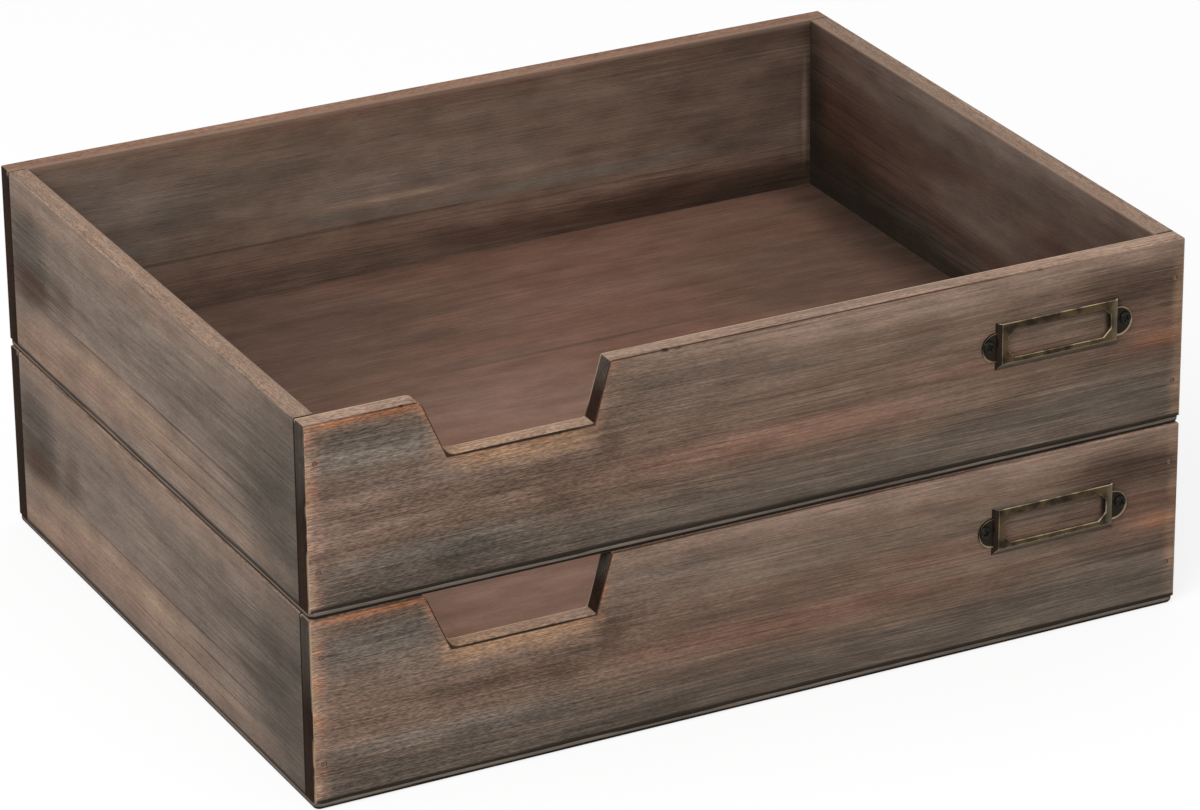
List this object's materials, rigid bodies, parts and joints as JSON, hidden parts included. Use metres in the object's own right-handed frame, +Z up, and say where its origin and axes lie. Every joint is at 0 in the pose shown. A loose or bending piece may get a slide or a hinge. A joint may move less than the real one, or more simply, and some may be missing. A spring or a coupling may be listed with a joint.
{
  "type": "stackable desk tray",
  "caption": "Stacked rustic wooden letter trays with a hand notch in the front wall and a brass card holder, for paper and files on a desk.",
  "frame": {"origin": "centre of the lower tray's footprint, on the surface that the stack stands on", "axes": "+Z up, X along the width of the trays, the fronts with notch and card holder face -Y"},
  "size_m": [0.335, 0.2623, 0.14],
  "materials": {
    "stained_wood": "weathered grey-brown stain, matt, with rubbed warm edges",
    "bottom_wood": "reddish brown stain, matt",
    "antique_brass": "dark patina with bright worn edges",
    "dark_screw": "black oxide",
    "brad_steel": "stained over with the wood"
  },
  "bodies": {
    "lower_tray": {"lower_front_panel": "stained_wood", "lower_back_panel": "stained_wood", "lower_left_side": "stained_wood", "lower_right_side": "stained_wood", "lower_bottom_panel": "bottom_wood", "lower_label_frame": "antique_brass", "lower_label_screws": "dark_screw", "lower_front_brads": "brad_steel", "lower_back_brads": "brad_steel", "lower_bottom_brads": "brad_steel"},
    "upper_tray": {"upper_front_panel": "stained_wood", "upper_back_panel": "stained_wood", "upper_left_side": "stained_wood", "upper_right_side": "stained_wood", "upper_bottom_panel": "bottom_wood", "upper_label_frame": "antique_brass", "upper_label_screws": "dark_screw", "upper_front_brads": "brad_steel", "upper_back_brads": "brad_steel", "upper_bottom_brads": "brad_steel"}
  },
  "joints": [
    {"name": "upper_tray_lift", "type": "slide", "parent": "lower_tray", "child": "upper_tray", "axis": [0, 0, 1], "range_m": [0, 0.14]}
  ]
}
